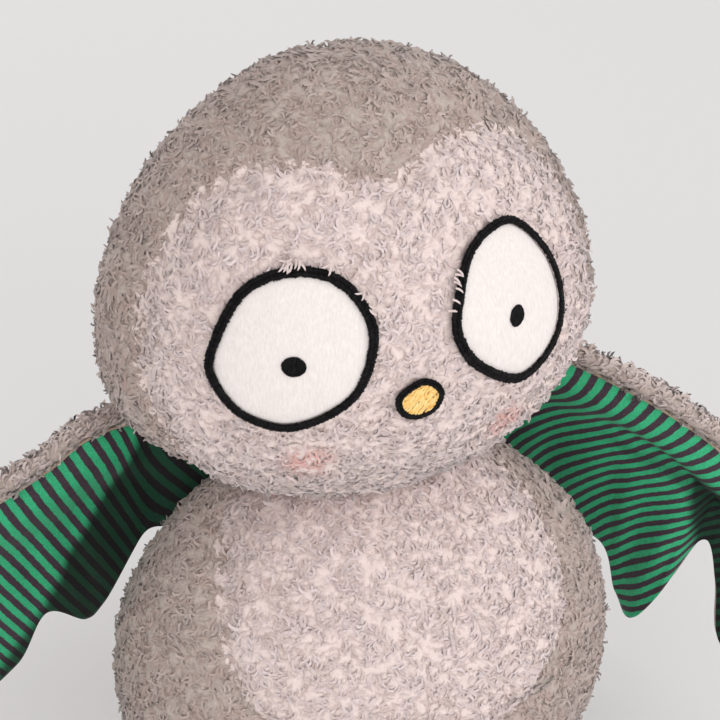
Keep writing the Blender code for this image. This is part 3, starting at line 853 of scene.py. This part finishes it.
class Patch:
    """A piece of cloth or stitching that lies on the head, drawn in the plane that touches it."""

    def __init__(self, turn, height, outline, steps):
        self.centre = HEAD.at(math.radians(turn), height)
        self.out = HEAD.normal(self.centre)[0]
        across = np.cross((0.0, 0.0, 1.0), self.out)
        self.across = across / np.linalg.norm(across)
        self.up = np.cross(self.out, self.across)
        self.outline = smooth_loop(outline, steps)

    def lay(self, flat, outward=0.0):
        """Points of the plane dropped onto the head; outward may differ from point to point."""
        flat = np.atleast_2d(flat)
        points = self.centre + flat[:, :1] * self.across + flat[:, 1:] * self.up
        directions = np.tile(self.out, (len(points), 1))
        landed = HEAD.drop(points, directions)
        return landed + HEAD.normal(landed) * np.reshape(outward, (-1, 1))

    def flat(self, points):
        """Where points near the head lie in the patch's plane."""
        away = points - self.centre
        return np.stack((away @ self.across, away @ self.up), axis=1)

    def covers(self, points, margin):
        close = (points - self.centre) @ self.out > -0.03
        return close & inside(self.flat(points), grow(self.outline, margin))

    def disc(self, name, outline, low, dome, material, bumps):
        """A domed patch of cloth inside an outline."""
        bm = bmesh.new()
        bmesh.ops.create_grid(bm, x_segments=40, y_segments=40, size=1.0)
        square = points_of(bm)[:, :2]
        disc = square * np.sqrt(1.0 - square[:, ::-1] ** 2 / 2.0)
        angles = np.arctan2(outline[:, 1], outline[:, 0])
        order = np.argsort(angles)
        reach = np.interp(
            np.arctan2(disc[:, 1], disc[:, 0]),
            angles[order],
            np.linalg.norm(outline, axis=1)[order],
            period=2.0 * math.pi,
        )
        radius = np.linalg.norm(disc, axis=1)
        flat = disc * reach[:, None]
        rise = low + dome * np.sqrt(clamp(1.0 - radius**2.6))
        rise += bumps * np.array([noise.noise(Vector((x, y, 0.0)) * 120.0) for x, y in flat])
        move_points(bm, self.lay(flat, rise))
        bmesh.ops.recalc_face_normals(bm, faces=bm.faces)
        faces = bm.faces[:]
        if (np.array(faces[0].normal[:]) @ self.out) < 0.0:
            bmesh.ops.reverse_faces(bm, faces=faces)
        bmesh.ops.solidify(bm, geom=faces, thickness=0.0011)
        return to_piece(bm, name, material, "head")


def stitch_shape():
    """One satin stitch along X, one unit long and one unit wide, low and rounded."""
    bm = bmesh.new()
    bmesh.ops.create_uvsphere(bm, u_segments=6, v_segments=4, radius=0.5)
    upright = Matrix.Rotation(math.pi / 2.0, 3, "Y")
    bmesh.ops.rotate(bm, verts=bm.verts, cent=(0.0, 0.0, 0.0), matrix=upright)
    for vert in bm.verts:
        vert.co.x = math.copysign(abs(2.0 * vert.co.x) ** 0.55 / 2.0, vert.co.x)
    return small_mesh(bm)


STITCH = [stitch_shape()]


def lay_stitches(name, starts, ends, normals, width, rise, material):
    """Stitches from starts to ends, each with its own tone."""
    along = ends - starts
    lengths = np.linalg.norm(along, axis=1)[:, None]
    along /= lengths
    side = unit(np.cross(normals, along))
    up = np.cross(along, side)
    widths = width * random.uniform(0.85, 1.2, len(starts))[:, None]
    frames = np.stack((along * lengths, side * widths, up * rise), axis=2)
    tones = random.uniform(0.0, 1.0, len(starts))
    return lay_copies(name, STITCH, (starts + ends) / 2.0, frames, tones, [0.5], material, "head")


def inner_edge(outline, width, swing, thin):
    """The inner edge of a border, which narrows towards one direction."""
    angles = np.arctan2(outline[:, 1], outline[:, 0]) - math.radians(thin)
    return grow(outline, -(width - swing * np.cos(angles))[:, None])


def border(patch, name, widths, pitch, lift):
    """A satin-stitched band just inside a patch's outline; its stitches slant and end unevenly."""
    outer = patch.outline
    around = np.linalg.norm(np.roll(outer, -1, axis=0) - outer, axis=1)
    total = around.sum()
    edges = np.concatenate(([0.0], np.cumsum(around)))
    ticks = np.arange(0.0, total, pitch)
    count = len(ticks)

    def at_ticks(loop, places):
        closed = np.vstack((loop, loop[:1]))
        return np.stack([np.interp(places % total, edges, closed[:, k]) for k in range(2)], axis=1)

    begin = at_ticks(outer, ticks)
    across = at_ticks(inner_edge(outer, *widths), ticks + widths[0] * 0.42) - begin
    starts, ends = [], []
    for layer, (first, second) in enumerate(((0.0, 1.0), (0.02, 0.55), (0.48, 1.0))):
        ragged = random.normal(0.0, 0.045, (2, count))[:, :, None]
        heights = lift + 0.0002 * layer + random.normal(0.0, 0.00008, count)
        starts.append(patch.lay(begin + across * (first + ragged[0]), heights))
        ends.append(patch.lay(begin + across * (second + ragged[1]), heights))
    starts, ends = np.vstack(starts), np.vstack(ends)
    return lay_stitches(name, starts, ends, HEAD.normal(starts), pitch * 1.35, 0.0013, "black_thread")


def filling(patch, name, outline, pitch, lift, slant, material, reach=0.0042, stray=0.0):
    """Satin stitches that fill an outline side by side, in short runs that overlap."""
    direction = np.array((math.cos(slant), math.sin(slant)))
    across = np.array((-direction[1], direction[0]))
    low, high = (outline @ across).min(), (outline @ across).max()
    starts, ends = [], []
    run = np.linspace(-0.02, 0.02, 801)
    for offset in np.arange(low + pitch / 2.0, high, pitch):
        line = offset * across + run[:, None] * direction
        within = run[inside(line, outline)]
        if len(within) < 6:
            continue
        first, last = within[0], within[-1]
        pieces = max(1, round((last - first) / reach))
        cuts = np.linspace(first, last, pieces + 1)
        cuts[1:-1] += random.normal(0.0, 0.0005, pieces - 1)
        for begin, finish in zip(cuts, cuts[1:]):
            aside = random.normal(0.0, 1.0, 2) * stray
            starts.append((offset + aside[0]) * across + (begin - 0.0003) * direction)
            ends.append((offset + aside[1]) * across + (finish + 0.0003) * direction)
    starts, ends = np.array(starts), np.array(ends)
    heights = lift + random.normal(0.0, 0.00006, len(starts))
    laid = patch.lay(starts, heights), patch.lay(ends, heights)
    return lay_stitches(name, *laid, HEAD.normal(laid[0]), pitch * 1.7, 0.0009, material)


def stray_strands(name, patch, spots):
    """Strands of the pale pile that fall over a border; each spot has an angle, a spread and a count."""
    degrees = np.concatenate([random.normal(*spot) for spot in spots])
    angles, count = np.radians(degrees), len(degrees)
    heading = np.stack((np.cos(angles), np.sin(angles)), axis=1)
    around = np.arctan2(patch.outline[:, 1], patch.outline[:, 0])
    reach = np.interp(angles, around, np.linalg.norm(patch.outline, axis=1), period=2.0 * math.pi)
    flat = heading * (reach + random.uniform(0.0006, 0.0022, count))[:, None]
    points = patch.lay(flat, random.uniform(0.0004, 0.0009, count))
    normals = HEAD.normal(points)
    inwards = -(heading[:, :1] * patch.across + heading[:, 1:] * patch.up)
    flow = along_skin(inwards + random.normal(0.0, 0.55, normals.shape), normals)
    ahead, up = lean_over(normals, flow, random.uniform(72.0, 80.0, count))
    frames = np.stack((ahead, np.cross(normals, flow), up), axis=2) * STRAY_SIZE
    tones = random.uniform(0.3, 0.8, count)
    lay_copies(name, [STRAND], points, frames, tones, [STRAND_HEIGHT], "pale_pile", "head", normals)


def make_face():
    """Eyes and beak; returns their patches, each with the margin that its pile keeps."""
    patches = []
    for side, eye in (("left", LEFT_EYE), ("right", RIGHT_EYE)):
        patch = Patch(eye["turn"], eye["height"], eye["outline"], 120)
        patches.append((patch, 0.0004))
        within = grow(patch.outline, -0.0022)
        white = patch.disc("eye_cloth_" + side, within, -0.0010, 0.0012, "eye", 0.0002)
        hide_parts("eye_white_" + side)
        ring = border(patch, "eye_stitching_" + side, eye["border"], EYE_PITCH, EYE_LIFT)
        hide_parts("eye_border_" + side)
        stray_strands("stray_pile_" + side, patch, eye["strays"])
        angles, lean = full_turn(40), math.radians(eye["pupil_lean"])
        oval = np.stack((np.cos(angles), np.sin(angles)), axis=1) * eye["pupil_size"]
        oval = oval @ np.array(((math.cos(lean), math.sin(lean)), (-math.sin(lean), math.cos(lean))))
        oval += np.array(eye["pupil"])
        stitching = (PUPIL_PITCH, PUPIL_LIFT, PUPIL_SLANT, "black_thread")
        pupil = filling(patch, "pupil_stitching_" + side, oval, *stitching)
        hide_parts("pupil_" + side)
    patch = Patch(BEAK["turn"], BEAK["height"], BEAK["outline"], 72)
    patches.append((patch, 0.0002))
    ring = border(patch, "beak_stitching", (BEAK_BORDER, 0.0, 0.0), BEAK_PITCH, BEAK_LIFT)
    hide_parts("beak_border")
    within = grow(patch.outline, -BEAK_BORDER * 0.8)
    stitching = (FILLING_PITCH, FILLING_LIFT, FILLING_SLANT, "beak_thread", 0.0024, 0.00035)
    fill = filling(patch, "beak_filling", within, *stitching)
    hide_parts("beak_fill")
    return patches


def make_head():
    whole = form_mesh(HEAD, -CLOTH_DEPTH, NECK + NECK_GAP, None, [seam_along(MASK), back_seam])
    back = ("crown_cloth", "crown_panel", "head_stuffing")
    panel_pair(whole, MASK, "head", back, ("face_cloth", "face_panel"))
    points, normals = form_samples(whole, lambda middles: middles[:, 2] > HEAD_PILE_LOW)
    front = in_front(points, grow(MASK, -EDGE_OVERHANG))
    bare = np.zeros(len(points), dtype=bool)
    for patch, margin in make_face():
        bare |= patch.covers(points, margin)
    on_face = front & ~bare
    lay_pile("face_pile", points[on_face], normals[on_face], "pale_pile", "head")
    lay_pile("crown_pile", points[~front], normals[~front], "taupe_pile", "head")


def make_body():
    whole = form_mesh(BODY, -CLOTH_DEPTH, BASE_HEIGHT * 0.4, NECK - NECK_GAP, [seam_along(BELLY), back_seam])
    back = ("back_cloth", "back_panel", "body_stuffing", "pellet_bag")
    panel_pair(whole, BELLY, "body", back, ("belly_cloth", "belly_panel"))
    points, normals = form_samples(
        whole, lambda middles: (middles[:, 2] > BODY_PILE_LOW) & (middles[:, 2] < BODY_PILE_HIGH)
    )
    front = in_front(points, grow(BELLY, -EDGE_OVERHANG))
    lay_pile("belly_pile", points[front], normals[front], "pale_pile", "body")
    lay_pile("back_pile", points[~front], normals[~front], "taupe_pile", "body")
    make_base()
    neck_roll()


def make_base():
    """The flat panel under the toy, a little inside the body's lowest edge."""
    bm = bmesh.new()
    bmesh.ops.create_circle(bm, cap_ends=True, segments=96, radius=1.0)
    rim, side = (BODY.at(turn, 0.0005 - BODY_MIDDLE, -CLOTH_DEPTH) for turn in (0.0, math.pi / 2.0))
    for vert in bm.verts:
        vert.co = (vert.co.x * side[0], vert.co.y * (BODY.centre[1] - rim[1]) + BODY.centre[1], 0.0)
    top = bmesh.ops.extrude_face_region(bm, geom=bm.faces[:])
    raised = only(bmesh.types.BMVert, top["geom"])
    bmesh.ops.translate(bm, verts=raised, vec=(0.0, 0.0, BASE_HEIGHT))
    bmesh.ops.recalc_face_normals(bm, faces=bm.faces)
    base = to_piece(bm, "base_cloth", "taupe_cloth", "body")
    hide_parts("base_panel")


def neck_roll():
    """The turned-in cloth between head and body, which closes the crease at the neck."""
    bm = bmesh.new()
    bmesh.ops.create_grid(bm, x_segments=96, y_segments=12, size=math.pi)
    height = NECK - BODY_MIDDLE
    front, side = (BODY.at(turn, height, -CLOTH_DEPTH) - BODY.centre for turn in (0.0, math.pi / 2.0))
    for vert in bm.verts:
        turn, around = vert.co.x, vert.co.y
        grown = NECK_ROLL * (math.cos(around) - 0.9)
        out = (side[0] + grown) * math.sin(turn)
        ahead = (front[1] - grown) * math.cos(turn)
        vert.co = BODY.centre + np.array((out, ahead, height + NECK_ROLL * math.sin(around)))
    weld(bm)
    to_piece(bm, "neck_roll", "taupe_cloth", "body")


# Wings


class Wing:
    """The sewn wing: its middle surface spans ribs, and its cloths lie either side."""

    def __init__(self, ways):
        self.side = ways["side"]
        self.stripes = ways["stripes"]
        turn = self.side * SEAM_TURN
        top = SEAM_TOP - BODY_MIDDLE
        corner = BODY.at(turn, top, WING_STANDOFF) + np.array(ways["corner"]) * WING_LENGTH
        self.top = BODY.at(turn, top, SEAM_STANDOFF)
        bottom = BODY.at(turn, top - SEAM_LENGTH * 0.75, SEAM_STANDOFF)
        turned, droop = math.radians(ways["turn"]), math.radians(ways["droop"])
        level = math.cos(droop)
        along = np.array((self.side * math.cos(turned) * level, math.sin(turned) * level, -math.sin(droop)))
        hang = np.array((0.0, 0.0, -1.0))
        hang = hang - along * (hang @ along)
        hang /= np.linalg.norm(hang)
        behind = np.cross(along, hang) * self.side
        leading, trailing = [self.top], [bottom]
        flat_leading, flat_trailing = [(0.0, 0.024)], [(0.028, 0.050)]
        for rib, (angle, lead, trail) in enumerate(zip(ways["under"], LEADING_EDGE, SCALLOPED_EDGE)):
            tipped = math.radians(angle)
            down = hang * math.cos(tipped) + behind * math.sin(tipped)
            shift = ways["trail_shift"].get(rib, (0.0, 0.0))
            lead = (lead[0], lead[1] - ways["lead_rise"][rib])
            trail = (trail[0] + shift[0], trail[1] + shift[1])
            for line, flat, (far, low) in ((leading, flat_leading, lead), (trailing, flat_trailing, trail)):
                line.append(corner + along * far * WING_LENGTH + down * low * WING_DEPTH)
                flat.append((far * WING_LENGTH, low * WING_DEPTH))
        self.edges = [np.array(edge) for edge in (leading, trailing, flat_leading, flat_trailing)]

    def curve(self, edge, share):
        """Points of an edge's smooth curve at shares from the seam to the tip."""
        points = self.edges[edge]
        route = np.vstack((2 * points[0] - points[1], points, 2 * points[-1] - points[-2]))
        place = clamp(share) * (len(points) - 1)
        index = np.minimum(place.astype(int), len(points) - 2)
        part = (place - index)[:, None]
        return between(route[index], route[index + 1], route[index + 2], route[index + 3], part)

    def middle(self, share, depth_share):
        """Points of the middle surface, with the forward direction, the depth and the span."""
        lead, trail = self.curve(0, share), self.curve(1, share)
        step = 0.5 / (len(self.edges[0]) - 1)
        ahead = sum(self.curve(edge, share + step) - self.curve(edge, share - step) for edge in (0, 1))
        down = trail - lead
        span = np.linalg.norm(down, axis=1)
        forward = unit(np.cross(down, ahead) * self.side)
        points = lead + down * depth_share[:, None]
        close = BODY.level(points, SEAM_STANDOFF) < 1.0
        if close.any():
            points[close] = BODY.drop(points[close], BODY.normal(points[close]), SEAM_STANDOFF)
        return points, forward, depth_share * span, span

    def padding(self, share, depth, span):
        """Half the thickness: a tube along the arm, nearly flat below it."""
        swell = np.sin(0.5 * math.pi * np.minimum(share * 5.0, 1.0))
        arm = (ARM_THICKNESS + (ARM_TIP_THICKNESS - ARM_THICKNESS) * share) * swell
        reach = np.minimum(ARM_DEPTH, 0.6 * span)
        arm = arm * reach / ARM_DEPTH
        part = depth / reach
        upper = np.sin(math.pi / 2.0 * clamp(part / 0.42)) ** 0.8
        lower = np.cos(math.pi / 2.0 * clamp((part - 0.42) / 0.83)) ** 2
        tube = np.where(part < 0.42, upper, lower)
        return HALF_CLOTH + np.maximum(arm - HALF_CLOTH, 0.0) * tube

    def folds(self, share, depth_share):
        """How far the hanging cloth billows forward; the right wing also has a tuck and a fold."""
        ribs = share * (len(self.edges[0]) - 1)
        hanging = clamp((depth_share - 0.25) / 0.75)
        slack = 0.0022 * np.sin(math.pi * ribs * 0.62 + 0.4) * hanging**1.3
        creases = 0.0009 * np.sin(ribs * 5.3 + depth_share * 3.0) * np.sin(math.pi * hanging) ** 2
        billow = (slack + creases) * clamp(share * 8.0)
        if self.side < 0.0:
            return billow
        depth = depth_share * np.linalg.norm(self.curve(1, share) - self.curve(0, share), axis=1)
        tuck = hump(depth, 0.0205, 0.005) * clamp((share - 0.33) / 0.22)
        behind = eased(clamp((share - 0.64) / 0.055) * clamp((depth - 0.014) / 0.014))
        behind = behind * clamp((0.90 - share) / 0.18)
        return billow - TUCK_DEPTH * tuck - FOLD_DEPTH * behind

    def cut(self, share, depth_share):
        """Places along and down the flat cut cloth."""
        lead, trail = self.curve(2, share), self.curve(3, share)
        return (lead + (trail - lead) * depth_share[:, None]).T

    def stripe_map(self, share, depth_share):
        """The flat cloth in stripes across, with their drift, and in stripes down."""
        along, down = self.cut(share, depth_share)
        far, low = along / STRIPE_SCALE, down / STRIPE_SCALE
        across = sum(amount * far**i * low**j for i, j, amount in self.stripes)
        return np.stack((across, down / STRIPE_PERIOD), axis=1)

    def painted_shade(self, share, depth_share):
        """Painted shade for the lining: beside the left seam, where the head's shadow falls, and in the
        right wing's fold and tuck.
        """
        along, down = self.cut(share, depth_share)
        if self.side < 0.0:
            return eased(clamp((0.018 + 1.2 * down - along) / 0.010))
        fold = clamp((along - 0.096 - 0.66 * down) / 0.005) * clamp((down - 0.012) / 0.006)
        fold *= clamp((0.145 + 0.66 * down - along) / 0.02)
        tuck = hump(down, 0.0215, 0.0035) * clamp((along - 0.06) / 0.03)
        return eased(np.maximum(fold, 0.5 * tuck))

    def sheet(self, name, columns, rows, offset, thickness, material, body):
        """A sheet of cloth on the wing; offset gives its height over the middle surface."""
        bm = bmesh.new()
        bmesh.ops.create_grid(bm, x_segments=columns, y_segments=rows, size=0.5)
        share, down, _height = (points_of(bm) + 0.5).T
        depth_share = down**1.25
        points, forward, depth, span = self.middle(share, depth_share)
        points = points + forward * offset(share, depth_share, depth, span)[:, None]
        flat = self.stripe_map(share, depth_share)
        layer = bm.loops.layers.uv.new("cloth")
        # The nap layer carries painted shade: how much the lining is darkened where shade falls.
        nap = bm.verts.layers.float.new("nap")
        move_points(bm, points)
        for vert, amount in zip(bm.verts, self.painted_shade(share, depth_share)):
            vert[nap] = amount
        bm.verts.index_update()
        for face in bm.faces:
            for loop in face.loops:
                loop[layer].uv = flat[loop.vert.index]
        bm.normal_update()
        faces = bm.faces[:]
        facing = sum(np.array(face.normal[:]) @ forward[face.verts[0].index] for face in faces)
        if (facing < 0.0) == (thickness > 0.0):
            bmesh.ops.reverse_faces(bm, faces=faces)
        piece = to_piece(bm, name, material, body)
        thicken(piece, abs(thickness))
        return piece

    def rim(self, name, radius, up_by, forward_by, material, body):
        """A closed roll along the leading edge."""
        bm = bmesh.new()
        bmesh.ops.create_grid(bm, x_segments=110, y_segments=12, size=0.5)
        spots = points_of(bm) + 0.5
        share, around = spots[:, 0], spots[:, 1:2] * 2.0 * math.pi
        lead, forward, _depth, _span = self.middle(share, np.zeros(len(share)))
        up = unit(lead - self.middle(share, np.full(len(share), 0.2))[0])
        size = radius * np.sqrt(clamp(1.0 - np.abs(2.0 * share - 1.0) ** 12))[:, None]
        centre = lead + up * up_by + forward * forward_by
        move_points(bm, centre + (up * np.cos(around) + forward * np.sin(around)) * size)
        weld(bm)
        return to_piece(bm, name, material, body)


def make_wing(side, ways):
    wing = Wing(ways)
    body = "wing_" + side

    def front(share, depth_share, depth, span):
        return wing.padding(share, depth, span) + wing.folds(share, depth_share) + FRONT_GAP

    def back(share, depth_share, depth, span):
        return wing.folds(share, depth_share) - wing.padding(share, depth, span) - BACK_GAP

    lining = wing.sheet("wing_cloth_" + side, 150, 60, front, WING_CLOTH_THICKNESS, "lining", body)
    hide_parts("wing_lining_" + side, "wing_batting_" + side)
    fur = wing.sheet("wing_back_cloth_" + side, 100, 40, back, -WING_CLOTH_THICKNESS, "taupe_cloth", body)
    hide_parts("wing_fur_" + side)
    points, normals = surface_samples(fur.data)
    shares, edge = np.linspace(0.0, 1.0, 160), np.ones(160)
    hem, forward, depth, span = wing.middle(shares, edge)
    hem += forward * back(shares, edge, depth, span)[:, None]
    inner = np.array([np.min(np.sum((hem - point) ** 2, axis=1)) > HEM_MARGIN**2 for point in points])
    rim = wing.rim("wing_rim_" + side, RIM_RADIUS, RIM_RADIUS, -0.0008, "taupe_cloth", body)
    wing.rim("wing_seam_" + side, 0.0006, 0.0002, 0.0019, "seam_tape", body)
    rim_points, rim_normals = surface_samples(rim.data)
    ways = {"lean": (55.0, 84.0), "length": 0.9, "bright": 0.1}
    lay_pile("wing_pile_" + side, points[inner], normals[inner], "wing_pile", body, **ways)
    ways = {"lean": (42.0, 82.0), "comb": (0.0, 0.0, 1.6), "bright": 0.38}
    lay_pile("rim_pile_" + side, rim_points, rim_normals, "wing_pile", body, **ways)


# Stage


def make_floor():
    bm = bmesh.new()
    bmesh.ops.create_grid(bm, x_segments=1, y_segments=1, size=3.0)
    mesh = bpy.data.meshes.new("floor")
    bm.to_mesh(mesh)
    bm.free()
    floor = bpy.data.objects.new("floor", mesh)
    bpy.context.collection.objects.link(floor)
    floor.data.materials.append(Shading("pale_floor").finish((0.82, 0.82, 0.82), 0.9))


def make_light():
    world = bpy.data.worlds.new("studio")
    bpy.context.scene.world = world
    world.use_nodes = True
    sky = world.node_tree.nodes["Background"]
    sky.inputs["Color"].default_value = (0.95, 0.93, 0.92, 1.0)
    sky.inputs["Strength"].default_value = 0.66
    for name, place, energy, size in (
        ("key", (2.30, -2.05, 1.80), 32.0, 2.2),
        ("front", (0.12, -3.30, 1.00), 29.0, 1.8),
        ("fill", (-2.5, -2.2, 1.0), 17.5, 2.5),
        ("back", (-0.5, 2.5, 2.0), 19.0, 2.2),
    ):
        lamp = bpy.data.lights.new(name, "AREA")
        lamp.energy = energy
        lamp.size = size
        holder = bpy.data.objects.new(name, lamp)
        holder.location = place
        aim = Vector((0.0, 0.0, 0.16)) - Vector(place)
        holder.rotation_euler = aim.to_track_quat("-Z", "Y").to_euler()
        bpy.context.collection.objects.link(holder)


def make_camera():
    """The photograph's view: its azimuth, elevation and roll, from 0.8 m away."""
    azimuth, elevation, roll = (math.radians(angle) for angle in (-19.3, 26.0, -3.0))
    level = math.cos(elevation)
    back = Vector((math.sin(azimuth) * level, -math.cos(azimuth) * level, math.sin(elevation)))
    right = Vector((math.cos(azimuth), math.sin(azimuth), 0.0))
    up = back.cross(right)
    camera_right = right * math.cos(roll) + up * math.sin(roll)
    camera_up = up * math.cos(roll) - right * math.sin(roll)
    lens = bpy.data.cameras.new("camera")
    lens.lens = 114.3
    lens.sensor_width = 36.0
    lens.clip_start = 0.05
    camera = bpy.data.objects.new("camera", lens)
    turn = Matrix((camera_right, camera_up, back)).transposed()
    target = Vector((0.0, 0.0, 0.185)) + camera_right * 0.0035
    camera.matrix_world = Matrix.Translation(target + back * 0.8) @ turn.to_4x4()
    bpy.context.collection.objects.link(camera)
    bpy.context.scene.camera = camera
    bpy.context.scene.view_settings.view_transform = "Standard"


make_head()
make_body()
make_wing("left", LEFT_WING)
make_wing("right", RIGHT_WING)
make_floor()
make_light()
make_camera()
